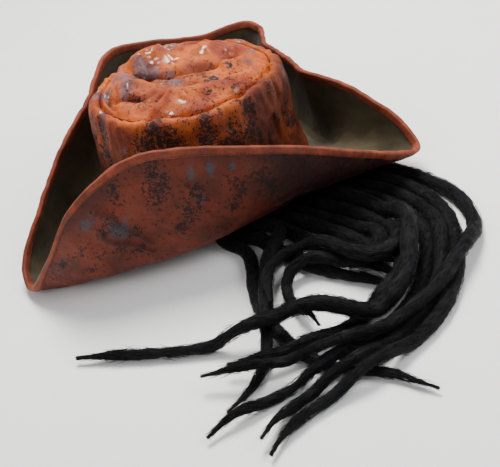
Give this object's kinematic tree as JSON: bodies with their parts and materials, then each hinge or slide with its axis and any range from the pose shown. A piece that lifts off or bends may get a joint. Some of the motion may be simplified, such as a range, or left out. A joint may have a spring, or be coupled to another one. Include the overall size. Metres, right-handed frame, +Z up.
{
  "type": "tricorn hat with hanging felted-yarn locks",
  "caption": "Soft mottled faux leather hat with a three-cornered turned-up brim, oval crown and long dark felted locks sewn inside one side.",
  "frame": {"origin": "middle of the bottom of the hat's bounding box, on the table, measured without the locks", "axes": "+Z up from the table, -Y towards the hat's front corner, +X towards the wearer's left, where the locks lie"},
  "size_m": [0.4935, 0.3703, 0.138],
  "materials": {
    "crown_leather": "satin, mottled orange-brown with dark blotches",
    "tip_leather": "semi-gloss, mottled orange-brown with grey-purple patches",
    "brim_leather": "satin, dark red-brown with dull blue-grey patches",
    "olive_cloth": "matt dark olive cloth",
    "binding_tape": "matt red-brown tape",
    "carrier_tape": "matt black tape",
    "felted_yarn": "matt near-black felted yarn"
  },
  "bodies": {
    "root": {"crown_side": "crown_leather", "crown_tip": "tip_leather", "brim_shell": "brim_leather", "brim_facing": "olive_cloth", "rim_binding": "binding_tape", "lock_tape": "carrier_tape", "dreadlock_01": "felted_yarn", "dreadlock_02": "felted_yarn", "dreadlock_03": "felted_yarn", "dreadlock_04": "felted_yarn", "dreadlock_05": "felted_yarn", "dreadlock_06": "felted_yarn", "dreadlock_07": "felted_yarn", "dreadlock_08": "felted_yarn", "dreadlock_09": "felted_yarn", "dreadlock_10": "felted_yarn", "dreadlock_11": "felted_yarn", "dreadlock_12": "felted_yarn"}
  },
  "joints": []
}
